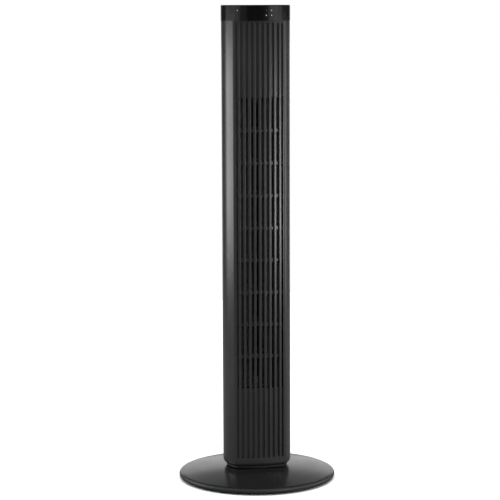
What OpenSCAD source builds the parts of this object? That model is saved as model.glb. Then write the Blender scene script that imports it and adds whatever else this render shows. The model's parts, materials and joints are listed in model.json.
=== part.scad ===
// Tower fan: a ribbed column that swings on a round base, with a cross-flow wheel inside.
// Z is up, the front faces -Y, and the origin is on the floor under the column's axis.

/* [Overall] */
// Height from the floor to the top of the cap
total_h = 1000; // [920:10:1080]
// Radius of the round base
base_r = 165.5; // [160:0.5:175]
// Height of the base's rounded rim
rim_h = 11.5; // [10.5:0.5:13]
// Height of the rubber feet
foot_h = 3; // [2.5:0.5:3]

/* [Column] */
// Radius of the column's round sides and back
column_r = 71.5; // [71:0.5:72.5]
// Distance from the axis to the middle of the front face
front_y = 53.4; // [53:0.2:55]
// Radius of the shallow crown across the front face
crown_r = 250; // [240:5:300]
// Radius of the two vertical front corners, and of the rounded bottom edge
corner_r = 8; // [7:0.5:9]
// Wall thickness of the two housings
wall = 2.5; // [2:0.1:2.6]
// Height of the gloss cap
cap_h = 32; // [30:1:36]

/* [Grille] */
// Number of upright fins on the front
fin_count = 9; // [7:2:11]
// Distance between fins, along the face
fin_pitch = 10.8; // [8.5:0.1:10.8]
// Width of one fin
fin_w = 5.5; // [4.5:0.1:6]
// Rounding of a fin's front edges
fin_edge = 1.2; // [0.5:0.1:1.6]
// Depth of the grooves between the fins
groove_depth = 6; // [4:0.5:6.5]
// Height of the plain band at the foot of the grille
low_band = 19; // [15:1:24]
// Number of bays in the outlet
bays = 9; // [7:1:10]
// Height of one crossbar
bar_h = 6; // [4:0.5:8]

/* [Wheel] */
// Outer radius of the cross-flow wheel
wheel_r = 40; // [38:0.5:40]
// Number of blades around the wheel
blade_count = 30; // [24:1:36]

/* [Swing drive] */
// Tooth size (pitch diameter over tooth count)
gear_module = 1.25; // [1:0.25:1.25]
// Teeth on the fixed gear
fixed_teeth = 54; // [54]
// Teeth on the pinion
pinion_teeth = 18; // [18]

/* [Controls] */
// Radius of one push-button
button_r = 7.7; // [7:0.1:8]
// Distance between push-buttons
button_pitch = 22; // [20:0.5:22]

/* [Hidden] */

$fn = 96;
fine = 360;
fit = 0.05;
gap = 0.3;

// Levels, from the floor up
base_top = 28;
foot_bottom = base_top + 1.7;
shell_z0 = 34;
shell_z1 = total_h - cap_h;
fins_z0 = shell_z0 + low_band;
fins_z1 = shell_z1 - 5;
low_plate_z = 190;
window_z0 = 201.5;
window_z1 = total_h - 190;
high_plate_z = window_z1 + 8;
plate_t = 4;
bay_h = (window_z1 - window_z0) / bays;

// Column outline
crown_y = crown_r - front_y;
face_t = groove_depth + 2.5;
field_x = (fin_count - 1) * fin_pitch / 2 + fin_w / 2 + 3.4;
rib_x = field_x + 2.5;
corner_y = (crown_y * crown_y + pow(column_r - corner_r, 2) - pow(crown_r - corner_r, 2)) / (2 * crown_y);
corner_x = sqrt(pow(column_r - corner_r, 2) - corner_y * corner_y);

// Skirt at the foot of the column, under the two housings
skirt_t = corner_r + 0.5;
skirt_z1 = shell_z0 + corner_r + 1;
housing_z0 = skirt_z1 + 0.2;

// Openings in the back
intake_x = 48;
handle_z = shell_z1 - 102;
handle_x = 46;
handle_h = 34;
cover_z = handle_z - 16;
tab_at = 26;

// Base
plate_z = foot_h + 2.5;
rim_r = rim_h / 2;
inner_r = base_r - 9;
boss_ring = base_r - 16;
dome_flat_r = 55;
dome_edge_r = base_r - 3;
dome_edge_z = foot_h + rim_h;
dome_y = (pow(dome_flat_r, 2) + pow(base_top, 2) - pow(dome_edge_r, 2) - pow(dome_edge_z, 2))
    / (2 * (base_top - dome_edge_z));
dome_r = sqrt(pow(base_top - dome_y, 2) + pow(dome_flat_r, 2));
gland_z = foot_h + rim_r;

// Swivel and swing drive
post_r = 22;
seat_r = 18;
gear_z = 42;
gear_h = 6;
drive_y = gear_module * (fixed_teeth + pinion_teeth) / 2;
bracket_z = 52;
swing_leg = [30, drive_y];

// Wheel, duct and motor, all on the wheel's own axis
wheel_y = 14;
scroll_centre = [4, wheel_y];
scroll_r = 46;
duct_t = 2;
shaft_r = 4;
motor_r = 36;
motor_top = 180;
damper_h = low_plate_z - motor_top - 3;
motor_bolt_r = 40;
loom_at = [-49.5, 0];

// Housing screws, in pairs
screw_x = 57;
screw_zs = [66, 176, window_z1 + 26, shell_z1 - 26];
seam_y = 4;

// Cap and controls
cap_r = column_r + 0.5;
deck_z = total_h - 2;
cap_roof = 3.5;
board_z = total_h - 18;
tray_z = shell_z1 - 11;
tray_post = [40, 30];
low_posts = [[46, 10], [38, -26]];
low_board_z = 78;
button_y = -22;
lights = [[-40, 11], [8.8, 11], [18, 11], [8.8, 21], [18, 21]];
light_r = 1.2;

function polar(r, a) = [r * cos(a), r * sin(a)];

// One flank point of an involute tooth: its radius, and the angle from the tooth's middle
function inv(a) = tan(a) * 180 / PI - a;
function flank(rp, rb, half, r) = half + inv(20) - inv(acos(min(1, rb / r)));

// Outline of a spur gear whose first tooth points along +X
function gear_points(n, m) =
    let (rp = n * m / 2, rb = rp * cos(20), tip = rp + 0.95 * m, root = rp - 1.2 * m,
         half = 90 / n - 0.08 / rp * 180 / PI, low = max(rb, root + 0.2),
         rs = [for (k = [0:4]) low + (tip - low) * k / 4])
    [for (i = [0:n - 1], p = concat(
        [[root, -flank(rp, rb, half, low) - 0.4]],
        [for (r = rs) [r, -flank(rp, rb, half, r)]],
        [for (k = [4:-1:0]) [rs[k], flank(rp, rb, half, rs[k])]],
        [[root, flank(rp, rb, half, low) + 0.4]])) polar(p[0], p[1] + i * 360 / n)];

module at_wheel() translate([0, wheel_y, 0]) children();
module ring(r_out, r_in, h) linear_extrude(h) difference() { circle(r_out); circle(r_in); }
module mirrored_x() { children(); mirror([1, 0, 0]) children(); }
module mirrored_xy() mirrored_x() { children(); mirror([0, 1, 0]) children(); }
module around(n, r, a0 = 0) for (i = [0:n - 1]) rotate(a0 + i * 360 / n) translate([r, 0, 0]) children();

// The circle of the front crown, moved inward
module crown(inset = 0) translate([0, crown_y]) circle(crown_r - inset, $fn = fine);

// What is cut away to round a front corner
module corner_wedge() {
    c = [corner_x, corner_y];
    o = [0, crown_y];
    a = c * (column_r + 5) / norm(c);
    b = o + (c - o) * (crown_r + 5) / norm(c - o);
    polygon([c, a, a + b - c, b]);
}

// The column's outline, moved inward
module section(inset = 0, n = fine) {
    rounded = corner_r > inset + 0.5;
    difference() {
        intersection() {
            circle(column_r - inset, $fn = n);
            translate([0, crown_y]) circle(crown_r - inset, $fn = n);
        }
        if (rounded) mirrored_x() corner_wedge();
    }
    if (rounded) mirrored_x() translate([corner_x, corner_y]) circle(corner_r - inset);
}

// The clear space inside the two housings
module core(inset = gap) intersection() {
    circle(column_r - wall - inset, $fn = fine);
    crown(face_t + inset);
}

// A screw that points up, with its head below
module screw(r, length, head_r, head_h) {
    cylinder(r = r, h = length);
    translate([0, 0, -head_h]) cylinder(r = head_r, h = head_h);
}

// A straight wall of the duct, between two points
module strip(p, q, t) {
    n = t * [q[1] - p[1], p[0] - q[0]] / norm(q - p);
    polygon([p, q, q + n, p + n]);
}

// ---- Base ----

module dome_profile(inset, edge) intersection() {
    translate([0, dome_y]) circle(dome_r - inset, $fn = 2 * fine);
    translate([0, foot_h - 1]) square([edge, base_top - inset - foot_h + 1]);
}

module base_cover() color("gray") difference() {
    union() {
        rotate_extrude($fn = fine) difference() {
            union() {
                intersection() {
                    dome_profile(0, base_r - rim_r);
                    translate([0, foot_h]) square([base_r, base_top]);
                }
                translate([base_r - rim_r, foot_h + rim_r]) circle(rim_r, $fn = 48);
            }
            dome_profile(3, inner_r);
            square([24.5, base_top + 5]);
        }
        around(6, boss_ring, 30) translate([0, 0, plate_z]) cylinder(r = 4.5, h = 9.2);
    }
    around(6, boss_ring, 30) cylinder(r = 1.85, h = 13.2);
    translate([0, inner_r - 2, gland_z]) rotate([-90, 0, 0]) cylinder(r = 4.4 + fit, h = 20);
}

module bottom_plate() color("darkslategray") translate([0, 0, foot_h]) difference() {
    cylinder(r = inner_r - 0.5, h = plate_z - foot_h, $fn = fine);
    around(6, boss_ring, 30) translate([0, 0, -1]) cylinder(r = 2, h = 5);
    around(4, 38, 45) translate([0, 0, -1]) cylinder(r = 2, h = 5);
}

module ballast_ring() color("darkgray")
    translate([0, 0, plate_z]) ring(base_r - 23, 60, 6.5);

module rubber_feet() color("black")
    around(6, base_r - 23) rotate_extrude()
        polygon([[0, 0], [8, 0], [9, 1], [9, foot_h], [0, foot_h]]);

module base_screws() color("silver") translate([0, 0, foot_h]) {
    around(6, boss_ring, 30) screw(1.8, 10, 3.4, 1.8);
    around(4, 38, 45) screw(1.8, 6, 3.4, 1.8);
}

module cord_gland() color("black")
    translate([0, inner_r - 0.4, gland_z]) rotate([-90, 0, 0]) difference() {
        cylinder(r = 4.4, h = 9);
        translate([0, 0, -1]) cylinder(r = 3.2, h = 12);
    }

module swivel_post() color("dimgray") difference() {
    union() {
        translate([0, 0, plate_z]) cylinder(r = 46, h = 4);
        translate([0, 0, plate_z]) cylinder(r = post_r, h = gear_z - plate_z);
        translate([0, 0, plate_z]) cylinder(r = seat_r, h = gear_z + 9 - plate_z);
    }
    cylinder(r = 9, h = 80);
    around(4, 38, 45) cylinder(r = 2, h = 20);
}

module fixed_gear() color("ivory") translate([0, 0, gear_z]) linear_extrude(gear_h) difference() {
    polygon(gear_points(fixed_teeth, gear_module));
    circle(seat_r + fit);
}

module gear_retainer() color("silver")
    translate([0, 0, gear_z + gear_h]) ring(23, seat_r + fit, 2.6);

module thrust_ring() color("black") translate([0, 0, base_top]) ring(44, 26, 1.4);

// ---- Column shell ----

module column_foot() color("black") difference() {
    union() {
        translate([0, 0, foot_bottom]) linear_extrude(shell_z0 - foot_bottom) section(7);
        translate([0, 0, foot_bottom]) cylinder(r = 27, h = gear_z - 0.5 - foot_bottom);
        translate([0, 0, shell_z0]) linear_extrude(14) difference() {
            core(skirt_t - wall + gap);
            core(skirt_t - wall + gap + 2);
        }
        for (p = low_posts) mirrored_x() translate([p[0], p[1], shell_z0])
            cylinder(r = 3.5, h = low_board_z - shell_z0);
    }
    cylinder(r = post_r + 0.06, h = 60);
    for (p = low_posts) mirrored_x() translate([p[0], p[1], low_board_z - 10])
        cylinder(r = 1.5, h = 12);
}

// A ring under the housings, with its lower edge rounded all round
module foot_skirt() color("dimgray") difference() {
    intersection() {
        minkowski() {
            translate([0, 0, shell_z0 + corner_r]) linear_extrude(1) section(corner_r, 180);
            sphere(corner_r, $fn = 32);
        }
        translate([-column_r, -column_r, shell_z0]) cube([2 * column_r, 2 * column_r, skirt_z1 - shell_z0]);
    }
    linear_extrude(2 * skirt_z1) intersection() {
        circle(column_r - skirt_t);
        crown(face_t);
    }
}

// The solid front face, from the crown back to the duct
module face_fill() difference() {
    intersection() {
        section();
        translate([-rib_x, -column_r]) square([2 * rib_x, column_r]);
    }
    crown(face_t);
}

// The web behind the grooves
module web() intersection() {
    translate([-rib_x, -column_r]) square([2 * rib_x, column_r]);
    section();
    difference() {
        crown(groove_depth);
        crown(face_t);
    }
}

module fin(x) translate([0, crown_y]) rotate(asin(x / crown_r)) translate([0, -crown_r]) {
    translate([-fin_w / 2, fin_edge]) square([fin_w, face_t - fin_edge]);
    translate([fin_edge - fin_w / 2, 0]) square([fin_w - 2 * fin_edge, 2 * fin_edge]);
    mirrored_x() translate([fin_w / 2 - fin_edge, fin_edge]) circle(fin_edge, $fn = 24);
}

module screw_boss(y0, y1) translate([screw_x, y0, 0]) rotate([-90, 0, 0]) cylinder(r = 4.5, h = y1 - y0);

module front_grille() color("dimgray") difference() {
    union() {
        translate([0, 0, housing_z0]) linear_extrude(shell_z1 - housing_z0) {
            difference() {
                section();
                circle(column_r - wall, $fn = fine);
                translate([-field_x, -column_r]) square([2 * field_x, 2 * column_r]);
                translate([-column_r, -fit]) square(2 * column_r);
            }
            difference() {
                face_fill();
                translate([-field_x, -column_r]) square([2 * field_x, column_r]);
            }
            for (i = [0:fin_count - 1]) fin((i - (fin_count - 1) / 2) * fin_pitch);
        }
        for (z = [[housing_z0, fins_z0], [fins_z1, shell_z1]])
            translate([0, 0, z[0]]) linear_extrude(z[1] - z[0]) face_fill();
        translate([0, 0, housing_z0]) linear_extrude(window_z0 - housing_z0) web();
        translate([0, 0, window_z1]) linear_extrude(shell_z1 - window_z1) web();
        for (k = [1:bays - 1]) translate([0, 0, window_z0 + k * bay_h - bar_h / 2])
            linear_extrude(bar_h) web();
        for (z = screw_zs) mirrored_x() intersection() {
            translate([0, 0, z]) screw_boss(-45, seam_y - fit);
            translate([0, 0, z - 10]) cylinder(r = column_r - 1, h = 20, $fn = fine);
        }
    }
    for (z = screw_zs) mirrored_x() translate([screw_x, -14, z]) rotate([-90, 0, 0])
        cylinder(r = 1.7, h = 30);
}

module rear_shell() difference() {
    circle(column_r, $fn = fine);
    circle(column_r - wall, $fn = fine);
    translate([-column_r, fit - 2 * column_r]) square(2 * column_r);
}

module rear_boss(z) mirrored_x() intersection() {
    translate([0, 0, z]) screw_boss(seam_y, 60);
    translate([0, 0, z - 10]) cylinder(r = column_r, h = 20, $fn = fine);
}

module rear_well(z) mirrored_x() translate([screw_x, 0, z]) rotate([-90, 0, 0]) {
    cylinder(r = 1.8, h = 20);
    translate([0, 0, 12]) cylinder(r = 3.4, h = 60);
}

module rear_housing() color("dimgray") difference() {
    union() {
        translate([0, 0, housing_z0]) linear_extrude(cover_z - housing_z0) rear_shell();
        for (z = screw_zs) if (z < cover_z) rear_boss(z);
    }
    translate([-intake_x, 30, window_z0 - 4]) cube([2 * intake_x, 60, window_z1 - window_z0 + 8]);
    for (z = screw_zs) if (z < cover_z) rear_well(z);
}

// The upper back, with the handle's opening; two tabs hook behind the housing below it
module rear_cover() color("dimgray") difference() {
    union() {
        translate([0, 0, cover_z + 0.2]) linear_extrude(shell_z1 - cover_z - 0.2) rear_shell();
        for (z = screw_zs) if (z > cover_z) rear_boss(z);
        for (a = [-tab_at, tab_at]) rotate(a) translate([-6, column_r - wall - 2.3, cover_z]) {
            translate([0, 0, -9]) cube([12, 1.6, 16]);
            translate([0, 0, 0.2]) cube([12, 2.8, 6.8]);
        }
    }
    translate([-handle_x, 30, handle_z]) cube([2 * handle_x, 60, handle_h]);
    for (z = screw_zs) if (z > cover_z) rear_well(z);
}

module rear_grille() color("darkslategray") difference() {
    translate([0, 0, window_z0 - 4 + gap]) linear_extrude(window_z1 - window_z0 + 8 - 2 * gap)
        intersection() {
            rear_shell();
            translate([gap - intake_x, 0]) square(2 * (intake_x - gap));
        }
    for (k = [0:bays - 1], i = [-5:5])
        translate([i * 8 - 2.25, 30, window_z0 + k * bay_h + bar_h / 2]) cube([4.5, 60, bay_h - bar_h]);
}

// A fine mesh sheet behind the intake slots
module dust_filter() color("dimgray") translate([0, 0, window_z0 - 3])
    linear_extrude(window_z1 - window_z0 + 6) intersection() {
        difference() {
            circle(column_r - wall - gap, $fn = fine);
            circle(column_r - wall - gap - 1.2, $fn = fine);
        }
        translate([-intake_x - 4, 0]) square([2 * intake_x + 8, column_r]);
    }

module handle_cup() color("black") {
    x = handle_x - 0.2;
    difference() {
        union() {
            intersection() {
                translate([-x, 34, handle_z + 0.2]) cube([2 * x, 50, handle_h - 0.4]);
                translate([0, 0, handle_z]) cylinder(r = column_r - 0.1, h = handle_h, $fn = fine);
            }
            translate([-28, 34, handle_z + 20]) cube([56, 22.5, 28]);
        }
        translate([2.5 - x, 36.5, handle_z + 2.7]) cube([2 * x - 5, 50, handle_h - 5.4]);
        translate([-25.5, 36.5, handle_z + 20]) cube([51, 17.5, 25.5]);
    }
}

module housing_screws() color("silver")
    for (z = screw_zs) mirrored_x() translate([screw_x, 12, z]) rotate([90, 0, 0]) screw(1.6, 22, 3, 2);

// ---- Air path ----

module scroll_casing() color("darkslategray")
    translate([0, 0, low_plate_z + plate_t]) linear_extrude(high_plate_z - low_plate_z - plate_t) {
        lip = scroll_centre + polar(scroll_r, -50);
        translate(scroll_centre) intersection() {
            difference() {
                circle(scroll_r + duct_t);
                circle(scroll_r);
            }
            polygon([[0, 0], polar(90, -50), polar(90, -5), polar(90, 40)]);
        }
        strip([45.5, -38], lip, duct_t);
    }

module air_tongue() color("darkslategray")
    translate([0, 0, low_plate_z + plate_t]) linear_extrude(high_plate_z - low_plate_z - plate_t) {
        tip = [-35, -18.5];
        translate(tip) circle(3);
        strip(tip, [-46, -38], duct_t);
        strip([-62, -9], tip, duct_t);
    }

module bulkhead(z, bore_r) translate([0, 0, z]) linear_extrude(plate_t) difference() {
    core();
    translate([0, wheel_y]) circle(bore_r);
    translate(loom_at) circle(2.5);
}

module lower_bulkhead() color("darkslategray") difference() {
    bulkhead(low_plate_z, 9);
    at_wheel() around(4, motor_bolt_r, 45) translate([0, 0, low_plate_z - 1]) cylinder(r = 2.1, h = 6);
}

module upper_bulkhead() color("darkslategray") bulkhead(high_plate_z, 14);

module bearing_seat() color("black") at_wheel()
    translate([0, 0, high_plate_z - 1.5]) ring(14 - fit, 7 + fit, 7);

module upper_bearing() color("goldenrod") at_wheel()
    translate([0, 0, high_plate_z - 3]) ring(7, 3 + fit, 10);

// ---- Fan motor ----

module motor_housing() color("silver") at_wheel() difference() {
    rotate_extrude() difference() {
        union() {
            translate([0, motor_top - 56]) square([motor_r - 4, 56]);
            translate([0, motor_top - 52]) square([motor_r, 48]);
            translate([motor_r - 4, motor_top - 52]) circle(4, $fn = 48);
            translate([motor_r - 4, motor_top - 4]) circle(4, $fn = 48);
        }
        translate([0, motor_top - 30]) square([shaft_r + fit, 40]);
    }
    around(18, motor_r + 1) translate([0, 0, motor_top - 44]) cylinder(r = 2, h = 32, $fn = 24);
}

module motor_flange() color("lightgray") at_wheel() translate([0, 0, motor_top]) difference() {
    ring(45, 20, 3);
    around(4, motor_bolt_r, 45) translate([0, 0, -1]) cylinder(r = 2.3, h = 5);
}

module motor_dampers() color("black") at_wheel()
    around(4, motor_bolt_r, 45) translate([0, 0, motor_top + 3]) ring(5.5, 2.3, damper_h);

module motor_screws() color("silver") at_wheel()
    around(4, motor_bolt_r, 45) translate([0, 0, motor_top]) screw(2, 14, 3.6, 2.4);

module driver_board() color("darkgreen") translate([0, 0, low_board_z]) {
    difference() {
        linear_extrude(1.6) intersection() {
            core(3);
            translate([-51, -column_r]) square([102, 2 * column_r]);
        }
        for (p = low_posts) mirrored_x() translate([p[0], p[1], -1]) cylinder(r = 1.5, h = 5);
    }
    translate([0, 0, 1.6]) {
        translate([-26, -30, 0]) cube([26, 22, 18]);
        translate([14, -20, 0]) cylinder(r = 8, h = 24);
        translate([-30, 14, 0]) cube([34, 3, 22]);
        translate([18, 18, 0]) cube([18, 9, 9]);
        translate([-20, 34, 0]) cube([30, 8, 7]);
    }
}

// ---- Swing drive, inside the foot of the column ----

module swing_bracket() color("lightgray") difference() {
    union() {
        mirrored_x() translate([swing_leg[0], swing_leg[1], shell_z0])
            cylinder(r = 4, h = bracket_z - shell_z0);
        translate([0, 0, bracket_z]) linear_extrude(2) intersection() {
            circle(64);
            translate([-36, 30]) square([72, 28]);
        }
    }
    translate([0, drive_y, 0]) cylinder(r = 3.2, h = 80);
    mirrored_x() translate([swing_leg[0], swing_leg[1], shell_z0 + 6]) cylinder(r = 1.7, h = 30);
}

module swing_motor() color("silver") translate([0, drive_y, bracket_z + 2]) difference() {
    union() {
        cylinder(r = 17.5, h = 18);
        translate([-36, -6, 0]) cube([72, 12, 2]);
    }
    translate([0, 0, -1]) cylinder(r = 2.5 + fit, h = 10);
    mirrored_x() translate([swing_leg[0], 0, -1]) cylinder(r = 1.7, h = 5);
}

module swing_screws() color("silver")
    mirrored_x() translate([swing_leg[0], swing_leg[1], bracket_z + 4]) mirror([0, 0, 1]) screw(1.6, 14, 3, 2);

module swing_pinion() color("ivory") translate([0, drive_y, 0]) {
    translate([0, 0, gear_z + 0.2]) linear_extrude(gear_h - 0.4) rotate(180 / pinion_teeth)
        polygon(gear_points(pinion_teeth, gear_module));
    translate([0, 0, gear_z + 0.2]) cylinder(r = 2.5, h = 19);
}

module wire_loom() color("black") translate([loom_at[0], loom_at[1], low_board_z + 1.6])
    cylinder(r = 2, h = board_z - low_board_z - 1.6, $fn = 24);

// ---- Controls ----

module board_tray() color("darkslategray") difference() {
    union() {
        translate([0, 0, tray_z]) linear_extrude(3) difference() {
            core();
            translate(loom_at) circle(2.5);
        }
        mirrored_xy() translate([tray_post[0], tray_post[1], tray_z]) cylinder(r = 3.5, h = board_z - tray_z);
    }
    mirrored_xy() translate([tray_post[0], tray_post[1], board_z - 10]) cylinder(r = 1.5, h = 12);
}

module control_board() color("darkgreen") translate([0, 0, board_z]) difference() {
    cylinder(r = 58, h = 1.6);
    mirrored_xy() translate([tray_post[0], tray_post[1], -1]) cylinder(r = 1.5, h = 5);
}

module board_screws() color("silver") {
    mirrored_xy() translate([tray_post[0], tray_post[1], board_z + 1.6])
        mirror([0, 0, 1]) screw(1.4, 10, 2.6, 1.5);
    for (p = low_posts) mirrored_x() translate([p[0], p[1], low_board_z + 1.6])
        mirror([0, 0, 1]) screw(1.4, 10, 2.6, 1.5);
}

module at_button(i) translate([i * button_pitch, button_y, 0]) children();

module tact_switches() color("black") for (i = [-2:2]) at_button(i) translate([0, 0, board_z + 1.6]) {
    translate([-3, -3, 0]) cube([6, 6, 2.6]);
    translate([0, 0, 2.6]) cylinder(r = 1.6, h = 1);
}

// A peg through the cap's band, at an angle from the front and a depth below the top
module band_peg(a, depth, r, grow = 0) rotate(a) translate([0, -column_r + 1 + grow, total_h - depth])
    rotate([90, 0, 0]) cylinder(r = r, h = 5, $fn = 32);

module window_block(grow) translate([-5 - grow, -cap_r - 1, total_h - 19 - grow])
    cube([10 + 2 * grow, 2.6, 5 + 2 * grow]);

module top_cap() color("black") difference() {
    rotate_extrude($fn = fine) difference() {
        union() {
            translate([0, shell_z1]) square([cap_r - 2, cap_h]);
            translate([0, shell_z1]) square([cap_r, cap_h - 2]);
            translate([cap_r - 2, total_h - 2]) circle(2, $fn = 48);
        }
        translate([0, shell_z1 - 1]) square([cap_r - 2.7, deck_z - cap_roof - shell_z1 + 1]);
        translate([0, deck_z]) square([62, 10]);
    }
    for (i = [-2:2]) at_button(i) translate([0, 0, board_z]) cylinder(r = button_r + 0.4, h = 40);
    for (p = lights) band_peg(p[0], p[1], light_r + fit);
    window_block(fit);
}

module control_deck() color("dimgray") translate([0, 0, deck_z]) difference() {
    cylinder(r = 61.8, h = 0.8, $fn = fine);
    for (i = [-2:2]) at_button(i) translate([0, 0, -1]) cylinder(r = button_r + 0.5, h = 4);
}

module indicator_lights() color("white") for (p = lights) intersection() {
    band_peg(p[0], p[1], light_r, -0.1);
    translate([0, 0, total_h - 40]) cylinder(r = cap_r, h = 40, $fn = fine);
}

module receiver_window() color("black") intersection() {
    window_block(0);
    translate([0, 0, total_h - 40]) cylinder(r = cap_r, h = 40, $fn = fine);
}

module button(i) at_button(i) rotate_extrude() difference() {
    union() {
        translate([0, board_z + 6.2]) square([3, 5]);
        translate([0, deck_z - cap_roof - 1.9]) square([button_r + 1.8, 1.6]);
        translate([0, deck_z - cap_roof - 1.9]) square([button_r, cap_roof + 2.5]);
        translate([0, deck_z - cap_roof - 1.9]) square([button_r - 1, cap_roof + 3.5]);
        translate([button_r - 1, deck_z + 0.6]) circle(1, $fn = 24);
    }
    translate([0, deck_z + 1.2]) square([4, 4]);
}

module power_button() color("gray") button(0);
module speed_button() color("gray") button(-1);
module mode_button() color("gray") button(1);
module timer_button() color("gray") button(-2);
module swing_button() color("gray") button(2);

// ---- Cross-flow wheel ----

module blades() intersection() {
    difference() {
        circle(wheel_r - 0.5);
        circle(wheel_r - 8);
    }
    for (i = [0:blade_count - 1]) rotate(i * 360 / blade_count) intersection() {
        translate([wheel_r - 10, -8]) square([12, 11]);
        translate([wheel_r - 4, 6]) difference() {
            circle(9.4, $fn = 48);
            circle(8.6, $fn = 48);
        }
    }
}

module impeller() color("black") at_wheel() difference() {
    union() {
        translate([0, 0, window_z0]) linear_extrude(window_z1 - window_z0) blades();
        translate([0, 0, window_z0 - 2]) cylinder(r = wheel_r, h = 3);
        translate([0, 0, window_z1 - 1]) cylinder(r = wheel_r, h = 3);
        for (k = [1:bays - 1]) translate([0, 0, window_z0 + k * bay_h - 1]) ring(wheel_r, wheel_r - 9, 2);
        translate([0, 0, window_z0 - 5]) cylinder(r = 10, h = 20);
        translate([0, 0, window_z1 - 12]) cylinder(r = 8, h = 14);
    }
    translate([0, 0, window_z0 - 8]) cylinder(r = shaft_r + fit, h = 20);
    translate([0, 0, window_z1 - 10]) cylinder(r = 3 + fit, h = 20);
    translate([0, 0, window_z0 + 8]) rotate([0, 90, 0]) cylinder(r = 1.5 + fit, h = 12, $fn = 24);
}

module motor_shaft() color("silver") at_wheel()
    translate([0, 0, motor_top - 28]) cylinder(r = shaft_r, h = window_z0 + 11 - motor_top + 28);

module hub_screw() color("silver") at_wheel()
    translate([shaft_r, 0, window_z0 + 8]) rotate([0, 90, 0]) cylinder(r = 1.5, h = 5.5, $fn = 24);

module pivot_pin() color("silver") at_wheel()
    translate([0, 0, window_z1 - 9]) cylinder(r = 3, h = high_plate_z + 6 - window_z1 + 9);

base_cover();
bottom_plate();
ballast_ring();
rubber_feet();
base_screws();
cord_gland();
swivel_post();
fixed_gear();
gear_retainer();
thrust_ring();
column_foot();
foot_skirt();
front_grille();
rear_housing();
rear_cover();
rear_grille();
dust_filter();
handle_cup();
housing_screws();
scroll_casing();
air_tongue();
lower_bulkhead();
upper_bulkhead();
motor_housing();
motor_flange();
motor_dampers();
motor_screws();
driver_board();
upper_bearing();
bearing_seat();
swing_bracket();
swing_motor();
swing_screws();
wire_loom();
board_tray();
control_board();
tact_switches();
board_screws();
top_cap();
control_deck();
indicator_lights();
receiver_window();
impeller();
motor_shaft();
hub_screw();
pivot_pin();
swing_pinion();
power_button();
speed_button();
mode_button();
timer_button();
swing_button();
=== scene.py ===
import json
import math

import bpy
from mathutils import Matrix, Vector


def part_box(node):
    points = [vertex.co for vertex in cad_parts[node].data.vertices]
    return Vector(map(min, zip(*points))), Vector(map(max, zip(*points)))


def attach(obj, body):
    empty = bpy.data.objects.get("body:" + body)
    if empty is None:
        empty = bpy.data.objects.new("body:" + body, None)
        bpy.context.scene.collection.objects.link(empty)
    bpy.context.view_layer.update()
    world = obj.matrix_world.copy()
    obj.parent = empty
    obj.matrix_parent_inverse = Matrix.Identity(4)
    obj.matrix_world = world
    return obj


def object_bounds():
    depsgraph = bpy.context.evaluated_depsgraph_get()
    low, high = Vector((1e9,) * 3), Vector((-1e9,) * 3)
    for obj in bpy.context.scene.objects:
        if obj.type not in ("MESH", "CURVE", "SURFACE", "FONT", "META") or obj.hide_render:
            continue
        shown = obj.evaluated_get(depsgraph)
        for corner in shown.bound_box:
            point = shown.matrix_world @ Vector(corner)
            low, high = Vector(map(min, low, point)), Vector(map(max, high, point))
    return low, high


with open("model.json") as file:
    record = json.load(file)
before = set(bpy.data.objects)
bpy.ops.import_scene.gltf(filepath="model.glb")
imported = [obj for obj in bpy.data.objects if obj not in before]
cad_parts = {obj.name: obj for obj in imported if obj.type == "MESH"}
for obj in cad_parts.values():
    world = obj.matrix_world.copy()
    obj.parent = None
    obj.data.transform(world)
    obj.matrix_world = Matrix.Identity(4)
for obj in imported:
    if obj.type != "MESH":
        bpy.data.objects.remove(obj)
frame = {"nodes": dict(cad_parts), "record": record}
CAD_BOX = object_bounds()
RECORD = frame["record"]
TOP = CAD_BOX[1].z

# Lengths are in metres. The camera's sensor and lens and the symbols' strokes are in millimetres.

# The camera looks at the column from a little to the left of its front, level with its top
CAMERA_AZIMUTH = math.radians(-9.4)
CAMERA_DISTANCE = 3.9
CAMERA_PITCH = math.radians(7.48)
CAMERA_PAN = math.radians(0.190)
CAMERA_ROLL = math.radians(-0.215)
CAMERA_CLIP = (0.1, 60)
SENSOR = 36.0
LENS = 134.4

# The floor's radius, and its brightness as the camera sees it and as the object mirrors it
FLOOR_R = 2.6
FLOOR_SEEN = (0.92, 0.92, 0.92)
FLOOR_MIRRORED = (0.16, 0.16, 0.16)
ROOM_COLOR = (0.9, 0.95, 1.0, 1)
ROOM_STRENGTH = 0.06

SUN_STRENGTH = 3.5
SUN_WIDTH = math.radians(70)
FILL_SIZE = (1.2, 0.8)
FILL_POWER = 7.6
FILL_PLACE = (-5, 1.3, 1.15)
FILL_TARGET = (0, 0, 0.8)
# Soft panels: name, glow, size, then angle, distance and height as for around_camera()
PANELS = (
    ("left_softbox", 5.0, (1.2, 0.64), -96, 1.7, 0.57),
    ("right_softbox", 14.0, (0.32, 0.5), 37.5, 1.8, 0.46),
    ("right_low", 2.0, (1.9, 0.8), 98, 1.9, 0.50),
    ("left_wall", 0.32, (2.2, 1.0), -84, 1.9, 0.95),
    ("left_wall_core", 0.30, (0.9, 1.0), -66, 1.85, 0.95),
    ("left_wall_edge", 0.16, (0.9, 1.0), -42, 1.8, 0.95),
    ("right_wall", 0.50, (2.0, 1.0), 70, 1.9, 0.95),
    ("right_wall_core", 0.42, (0.9, 1.0), 62, 1.85, 0.95),
    ("back_low", 0.95, (2.4, 0.42), 180, 2.4, 0.21),
    ("back_mid", 1.0, (2.4, 0.45), 180, 2.4, 0.645),
    ("back_high", 0.28, (2.4, 0.8), 180, 2.4, 1.27),
)

# The base's satin rim: the height where it meets the polished top, and half that seam's width
RIM_Z = 0.0130
RIM_BLEND = 0.001
RIM_COLOR = (0.026, 0.026, 0.027, 1)
RIM_ROUGHNESS = 0.5
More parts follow.
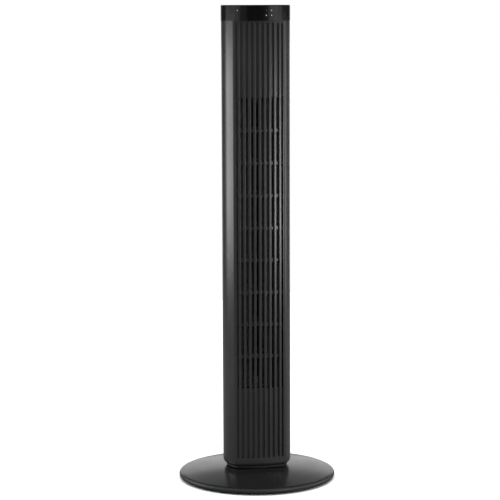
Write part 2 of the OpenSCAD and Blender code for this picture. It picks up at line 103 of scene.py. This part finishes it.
# The unlit indicator: its place along X and Z, each with half the space around it
LIGHT_OFF_X = (0.0109, 0.003)
LIGHT_OFF_Z = (TOP - 0.011, 0.003)
LIGHT_OFF_COLOR = (0.02, 0.02, 0.021, 1)

# Radius of a symbol's strokes, the depth of the dish they lie in, and pieces in one curved stroke
SYMBOL_R = 0.00025
DISH_DEPTH = 0.0004
CURVE_STEPS = 24


# ---- Camera, floor and light ----

def make_camera():
    data = bpy.data.cameras.new("camera")
    data.sensor_width = SENSOR
    data.lens = LENS
    data.clip_start, data.clip_end = CAMERA_CLIP
    cam = bpy.data.objects.new("camera", data)
    bpy.context.scene.collection.objects.link(cam)
    cam.location = (CAMERA_DISTANCE * math.sin(CAMERA_AZIMUTH),
                    -CAMERA_DISTANCE * math.cos(CAMERA_AZIMUTH), TOP)
    turn = Matrix.Rotation(CAMERA_AZIMUTH + CAMERA_PAN, 4, "Z")
    tip = Matrix.Rotation(math.pi / 2 - CAMERA_PITCH, 4, "X")
    cam.rotation_euler = (turn @ tip @ Matrix.Rotation(CAMERA_ROLL, 4, "Z")).to_euler()
    bpy.context.scene.camera = cam


def area_light(name, size, power, place, target):
    data = bpy.data.lights.new(name, "AREA")
    data.shape = "RECTANGLE"
    data.size, data.size_y = size
    data.energy = power
    light = bpy.data.objects.new(name, data)
    bpy.context.scene.collection.objects.link(light)
    light.location = place
    light.rotation_euler = (Vector(target) - Vector(place)).to_track_quat("-Z", "Y").to_euler()
    light.visible_camera = False
    return light


def around_camera(angle, distance, height):
    """A point at an angle in degrees from the camera's side; positive is to the viewer's right."""
    turn = CAMERA_AZIMUTH + math.radians(angle)
    return (distance * math.sin(turn), -distance * math.cos(turn), height)


def overhead_sun():
    """Even light from a wide ceiling, which glossy surfaces don't mirror."""
    data = bpy.data.lights.new("overhead", "SUN")
    data.energy = SUN_STRENGTH
    data.angle = SUN_WIDTH
    light = bpy.data.objects.new("overhead", data)
    bpy.context.scene.collection.objects.link(light)
    light.visible_glossy = False


def front_fill():
    """A high, near fill that fades towards the floor; glossy surfaces don't mirror it."""
    light = area_light("front_fill", FILL_SIZE, FILL_POWER, around_camera(*FILL_PLACE), FILL_TARGET)
    light.visible_glossy = False


def panel_light(name, glow, size, angle, distance, height):
    """A soft panel that faces the column; glow is how bright its surface looks."""
    power = glow * math.pi * size[0] * size[1]
    area_light(name, size, power, around_camera(angle, distance, height), (0, 0, height))


def make_lights():
    overhead_sun()
    front_fill()
    for panel in PANELS:
        panel_light(*panel)


def make_world():
    """A dim room that is pale where the camera sees it."""
    world = bpy.data.worlds.new("room")
    bpy.context.scene.world = world
    world.use_nodes = True
    nt = world.node_tree
    nt.nodes.clear()
    out = nt.nodes.new("ShaderNodeOutputWorld")
    mix = nt.nodes.new("ShaderNodeMixShader")
    path = nt.nodes.new("ShaderNodeLightPath")
    dim = nt.nodes.new("ShaderNodeBackground")
    pale = nt.nodes.new("ShaderNodeBackground")
    dim.inputs["Color"].default_value = ROOM_COLOR
    dim.inputs["Strength"].default_value = ROOM_STRENGTH
    pale.inputs["Color"].default_value = (1, 1, 1, 1)
    pale.inputs["Strength"].default_value = 1.0
    nt.links.new(path.outputs["Is Camera Ray"], mix.inputs["Fac"])
    nt.links.new(dim.outputs[0], mix.inputs[1])
    nt.links.new(pale.outputs[0], mix.inputs[2])
    nt.links.new(mix.outputs[0], out.inputs["Surface"])


def make_floor():
    """A pale floor; what the object mirrors of it is dimmer, as with a matt studio sweep."""
    bpy.ops.mesh.primitive_circle_add(radius=FLOOR_R, vertices=128, fill_type="NGON")
    floor = bpy.context.object
    floor.name = "floor"
    mat, nt, shader = material("floor_paint")
    path = nt.nodes.new("ShaderNodeLightPath")
    tone = ramp(nt, path.outputs["Is Camera Ray"], FLOOR_MIRRORED, FLOOR_SEEN, 0.0, 1.0)
    nt.links.new(tone, shader.inputs["Base Color"])
    shader.inputs["Roughness"].default_value = 0.9
    shader.inputs["Specular IOR Level"].default_value = 0.0
    floor.data.materials.append(mat)


# ---- Materials ----

def material(name):
    """A new material with one Principled shader, its node tree and that shader."""
    mat = bpy.data.materials.new(name)
    mat.use_nodes = True
    nt = mat.node_tree
    nt.nodes.clear()
    out = nt.nodes.new("ShaderNodeOutputMaterial")
    shader = nt.nodes.new("ShaderNodeBsdfPrincipled")
    nt.links.new(shader.outputs[0], out.inputs["Surface"])
    return mat, nt, shader


def own_place(nt):
    """The point being shaded, in the object's own metres."""
    return nt.nodes.new("ShaderNodeTexCoord").outputs["Object"]


def own_axes(nt):
    """The same point as separate X, Y and Z."""
    node = nt.nodes.new("ShaderNodeSeparateXYZ")
    nt.links.new(own_place(nt), node.inputs[0])
    return node.outputs


def noise(nt, scale, detail, stretch=(1, 1, 1)):
    """Noise with about scale features per metre."""
    mapping = nt.nodes.new("ShaderNodeMapping")
    mapping.inputs["Scale"].default_value = stretch
    tex = nt.nodes.new("ShaderNodeTexNoise")
    tex.inputs["Scale"].default_value = scale
    tex.inputs["Detail"].default_value = detail
    nt.links.new(own_place(nt), mapping.inputs["Vector"])
    nt.links.new(mapping.outputs[0], tex.inputs["Vector"])
    return tex.outputs["Fac"]


def spread(nt, value, low, high, start=0.3, end=0.7):
    """A number that goes from low to high as the value goes from start to end."""
    node = nt.nodes.new("ShaderNodeMapRange")
    node.inputs["From Min"].default_value = start
    node.inputs["From Max"].default_value = end
    node.inputs["To Min"].default_value = low
    node.inputs["To Max"].default_value = high
    nt.links.new(value, node.inputs["Value"])
    return node.outputs[0]


def ramp(nt, value, low, high, start=0.3, end=0.7):
    """A colour that goes from low to high as the value goes from start to end."""
    node = nt.nodes.new("ShaderNodeValToRGB")
    node.color_ramp.elements[0].position = start
    node.color_ramp.elements[0].color = (*low, 1)
    node.color_ramp.elements[1].position = end
    node.color_ramp.elements[1].color = (*high, 1)
    nt.links.new(value, node.inputs["Fac"])
    return node.outputs["Color"]


def bump(nt, shader, value, depth):
    node = nt.nodes.new("ShaderNodeBump")
    node.inputs["Distance"].default_value = depth
    nt.links.new(value, node.inputs["Height"])
    nt.links.new(node.outputs[0], shader.inputs["Normal"])


def shades(color, share):
    """The colour made darker and lighter by a share of itself."""
    return [c * (1 - share) for c in color], [c * (1 + share) for c in color]


def moulded(name, color, rough, grain=2600, depth=0.00003, mottle=0.12, stretch=(1, 1, 1),
            specular=0.5):
    """Moulded plastic: a fine spark-eroded grain, faint colour flow and uneven sheen."""
    mat, nt, shader = material(name)
    low, high = shades(color, mottle)
    nt.links.new(ramp(nt, noise(nt, 9, 4), low, high), shader.inputs["Base Color"])
    nt.links.new(spread(nt, noise(nt, 26, 4, stretch), *rough), shader.inputs["Roughness"])
    bump(nt, shader, noise(nt, grain, 2), depth)
    shader.inputs["Specular IOR Level"].default_value = specular
    return mat


def metal(name, color, rough, stretch, scale=900, depth=0.00001):
    """Machined or rolled metal, with its scratches along one direction."""
    mat, nt, shader = material(name)
    low, high = shades(color, 0.12)
    lines = noise(nt, scale, 4, stretch)
    nt.links.new(ramp(nt, noise(nt, 60, 3), low, high), shader.inputs["Base Color"])
    nt.links.new(spread(nt, lines, *rough), shader.inputs["Roughness"])
    shader.inputs["Metallic"].default_value = 1.0
    bump(nt, shader, lines, depth)
    return mat


def compare(nt, value, target, reach):
    """1 where the value is within reach of the target, otherwise 0."""
    node = nt.nodes.new("ShaderNodeMath")
    node.operation = "COMPARE"
    node.inputs[1].default_value = target
    node.inputs[2].default_value = reach
    nt.links.new(value, node.inputs[0])
    return node.outputs[0]


def combine(nt, operation, first, second):
    """Two values put together by a Math node's operation."""
    node = nt.nodes.new("ShaderNodeMath")
    node.operation = operation
    nt.links.new(first, node.inputs[0])
    nt.links.new(second, node.inputs[1])
    return node.outputs[0]


def bands(nt, direction, scale):
    """Soft parallel bands across one axis."""
    node = nt.nodes.new("ShaderNodeTexWave")
    node.bands_direction = direction
    node.inputs["Scale"].default_value = scale
    nt.links.new(own_place(nt), node.inputs["Vector"])
    return node.outputs["Fac"]


def blend_colors(nt, factor, first, second):
    """Goes from the first colour, a socket, to the second, a constant."""
    node = nt.nodes.new("ShaderNodeMix")
    node.data_type = "RGBA"
    nt.links.new(factor, node.inputs["Factor"])
    nt.links.new(first, node.inputs["A"])
    node.inputs["B"].default_value = second
    return node.outputs["Result"]


def base_shell():
    """Black plastic with a faint ripple, dust and rub marks: polished on top, satin at the rim."""
    mat, nt, shader = material("base_shell")
    dust = ramp(nt, noise(nt, 420, 6), (0.009, 0.009, 0.0095), (0.018, 0.018, 0.019), 0.55, 0.8)
    worn = spread(nt, noise(nt, 14, 5), 0.16, 0.24)
    rim = spread(nt, own_axes(nt)["Z"], 1.0, 0.0, RIM_Z - RIM_BLEND, RIM_Z + RIM_BLEND)
    rough = nt.nodes.new("ShaderNodeMix")
    nt.links.new(rim, rough.inputs["Factor"])
    nt.links.new(worn, rough.inputs["A"])
    rough.inputs["B"].default_value = RIM_ROUGHNESS
    nt.links.new(rough.outputs["Result"], shader.inputs["Roughness"])
    nt.links.new(blend_colors(nt, rim, dust, RIM_COLOR), shader.inputs["Base Color"])
    bump(nt, shader, noise(nt, 90, 2), 0.00002)
    return mat


def gloss_cap():
    """Piano-black acrylic: deep, nearly mirror-smooth, with hairline swirls in its sheen."""
    mat, nt, shader = material("gloss_cap")
    tone = ramp(nt, noise(nt, 30, 3), (0.002, 0.002, 0.0022), (0.003, 0.003, 0.0034))
    swirls = noise(nt, 700, 5, (1, 1, 0.15))
    nt.links.new(tone, shader.inputs["Base Color"])
    nt.links.new(spread(nt, swirls, 0.13, 0.18), shader.inputs["Roughness"])
    bump(nt, shader, noise(nt, 70, 1), 0.00001)
    return mat


def circuit_board():
    """Green solder mask, paler over a grid of copper tracks."""
    mat, nt, shader = material("circuit_board")
    tracks = nt.nodes.new("ShaderNodeTexBrick")
    tracks.inputs["Scale"].default_value = 110
    tracks.inputs["Mortar Size"].default_value = 0.06
    tracks.inputs["Color1"].default_value = (0.010, 0.075, 0.030, 1)
    tracks.inputs["Color2"].default_value = (0.014, 0.095, 0.040, 1)
    tracks.inputs["Mortar"].default_value = (0.030, 0.170, 0.070, 1)
    nt.links.new(own_place(nt), tracks.inputs["Vector"])
    nt.links.new(tracks.outputs["Color"], shader.inputs["Base Color"])
    nt.links.new(spread(nt, noise(nt, 300, 3), 0.25, 0.4), shader.inputs["Roughness"])
    bump(nt, shader, tracks.outputs["Fac"], 0.00003)
    return mat


def indicator():
    """Milky light guides, faintly lit from behind; the mode light nearest the middle is off."""
    mat, nt, shader = material("indicator")
    point = own_axes(nt)
    inner = compare(nt, point["X"], *LIGHT_OFF_X)
    upper = compare(nt, point["Z"], *LIGHT_OFF_Z)
    off = combine(nt, "MULTIPLY", inner, upper)
    glow = ramp(nt, noise(nt, 900, 2), (0.26, 0.27, 0.29), (0.34, 0.35, 0.37))
    level = blend_colors(nt, off, glow, LIGHT_OFF_COLOR)
    nt.links.new(level, shader.inputs["Base Color"])
    nt.links.new(level, shader.inputs["Emission Color"])
    shader.inputs["Emission Strength"].default_value = 0.5
    shader.inputs["Roughness"].default_value = 0.35
    return mat


def filter_mesh():
    """Black nylon netting: fine threads crossing at right angles, with painted shade: the gaps
    between the threads are near-black.
    """
    mat, nt, shader = material("filter_mesh")
    weave_and_painted_shade = combine(nt, "MAXIMUM", bands(nt, "X", 320), bands(nt, "Z", 320))
    # painted shade: the colour is near-black in the gaps between the threads and lighter on the
    # raised threads
    tone = ramp(nt, weave_and_painted_shade, (0.004, 0.004, 0.004), (0.022, 0.022, 0.023), 0.6, 0.95)
    nt.links.new(tone, shader.inputs["Base Color"])
    nt.links.new(spread(nt, noise(nt, 60, 4), 0.65, 0.85), shader.inputs["Roughness"])
    bump(nt, shader, weave_and_painted_shade, 0.0001)
    return mat


def loom_sleeve():
    """Black ribbed sleeve, with painted shade in the hollows between its ribs and a painted
    highlight on their crests.
    """
    mat, nt, shader = material("loom_sleeve")
    ribs_and_painted_shade = bands(nt, "Z", 60)
    # painted shade and highlight: the colour is darker in the rib hollows and lighter on the
    # crests, following the bump
    tone = ramp(nt, ribs_and_painted_shade, (0.012, 0.012, 0.012), (0.035, 0.035, 0.035))
    nt.links.new(tone, shader.inputs["Base Color"])
    shader.inputs["Roughness"].default_value = 0.6
    bump(nt, shader, ribs_and_painted_shade, 0.0002)
    return mat


# What makes the material of each slot in the record
MAKERS = {
    "base_shell": base_shell,
    "column_shell": lambda: moulded("column_shell", (0.030, 0.030, 0.0315), (0.21, 0.28),
                                    stretch=(1, 1, 0.2), specular=0.45),
    "gloss_cap": gloss_cap,
    "intake_plastic": lambda: moulded("intake_plastic", (0.022, 0.022, 0.023), (0.38, 0.5)),
    "duct_plastic": lambda: moulded("duct_plastic", (0.12, 0.12, 0.125), (0.45, 0.6)),
    "dark_plastic": lambda: moulded("dark_plastic", (0.012, 0.012, 0.013), (0.5, 0.65)),
    "wheel_plastic": lambda: moulded("wheel_plastic", (0.12, 0.12, 0.125), (0.5, 0.6),
                                     stretch=(1, 1, 0.1)),
    "deck": lambda: moulded("deck", (0.018, 0.018, 0.019), (0.22, 0.32), grain=1800),
    "button": lambda: moulded("button", (0.055, 0.056, 0.060), (0.3, 0.42), grain=3200),
    "light": indicator,
    "window": lambda: moulded("window", (0.006, 0.002, 0.003), (0.04, 0.08), grain=60,
                              depth=0.000005),
    "cast_ballast": lambda: metal("cast_ballast", (0.10, 0.10, 0.10), (0.6, 0.8), (1, 1, 1),
                                  scale=500, depth=0.0003),
    "plate_steel": lambda: metal("plate_steel", (0.46, 0.46, 0.47), (0.28, 0.42), (1, 12, 1)),
    "screw_steel": lambda: metal("screw_steel", (0.50, 0.50, 0.52), (0.22, 0.36), (1, 1, 20)),
    "bearing_bronze": lambda: metal("bearing_bronze", (0.50, 0.33, 0.14), (0.35, 0.5), (1, 1, 1),
                                    scale=1500),
    "gear_nylon": lambda: moulded("gear_nylon", (0.62, 0.59, 0.50), (0.4, 0.52), mottle=0.05),
    "rubber": lambda: moulded("rubber", (0.012, 0.012, 0.012), (0.65, 0.8), grain=1500,
                              depth=0.00006),
    "filter_mesh": filter_mesh,
    "loom": loom_sleeve,
    "board": circuit_board,
}


def paint_nodes():
    """Gives each CAD node the material of its slot in the record."""
    made = {}
    for part in RECORD["subparts"]:
        slot, obj = part["material_slot"], frame["nodes"][part["node"]]
        if slot not in made:
            made[slot] = MAKERS[slot]()
        obj.data.materials.clear()
        obj.data.materials.append(made[slot])
        for face in obj.data.polygons:
            face.material_index = 0


# ---- Symbols on the buttons ----

def arc(radius, start, end, middle_y=0):
    """Points along an arc, in millimetres; angles are in degrees from +X."""
    turns = [math.radians(start + (end - start) * k / CURVE_STEPS) for k in range(CURVE_STEPS + 1)]
    return [(radius * math.cos(turn), middle_y + radius * math.sin(turn)) for turn in turns]


def ripple(height, length=4.8, rise=0.5, half_waves=3):
    """Points along a ripple at a height, in millimetres."""
    shares = [k / CURVE_STEPS for k in range(CURVE_STEPS + 1)]
    turn = half_waves * math.pi
    return [(length * (t - 0.5), height + rise * math.sin(turn * t)) for t in shares]


def symbols():
    """Plain strokes for each button, in millimetres from its middle."""
    right_arrow = [(1.27, 0.67), (2.45, 0.46), (2.45, 1.66)]
    left_arrow = [(-x, y) for x, y in right_arrow]
    return {
        "power": [arc(2.2, 120, 420), [(0, 0.8), (0, 2.9)]],
        "speed": [[(x, -2.0), (x, top)] for x, top in ((-1.8, -0.5), (0, 0.7), (1.8, 1.9))],
        "mode": [ripple(height) for height in (1.3, 0, -1.3)],
        "timer": [arc(2.6, 0, 360), [(0, 1.6), (0, 0), (1.2, 0)]],
        "swing": [arc(3.2, 40, 140, middle_y=-1.6), right_arrow, left_arrow],
    }


def make_symbols():
    """Thin raised strokes that lie in each button's shallow dish and move with it."""
    paint = moulded("symbol_print", (0.40, 0.41, 0.43), (0.45, 0.6), grain=3000, depth=0.00001)
    for name, strokes in symbols().items():
        low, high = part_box(name + "_button")
        curve = bpy.data.curves.new(name + "_strokes", "CURVE")
        curve.dimensions = "3D"
        curve.bevel_depth = SYMBOL_R
        curve.bevel_resolution = 2
        curve.use_fill_caps = True
        for stroke in strokes:
            line = curve.splines.new("POLY")
            line.points.add(len(stroke) - 1)
            for point, (x, y) in zip(line.points, stroke):
                point.co = (x / 1000, y / 1000, 0, 1)
        source = bpy.data.objects.new(name + "_strokes", curve)
        obj = bpy.data.objects.new(name + "_symbol", bpy.data.meshes.new_from_object(source))
        bpy.data.objects.remove(source)
        bpy.context.scene.collection.objects.link(obj)
        obj.location = ((low.x + high.x) / 2, (low.y + high.y) / 2, high.z - DISH_DEPTH)
        obj.data.materials.clear()
        obj.data.materials.append(paint)
        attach(obj, name)


# ---- Scene ----

bpy.context.scene.view_settings.view_transform = "Standard"
make_camera()
make_world()
make_lights()
make_floor()
paint_nodes()
make_symbols()
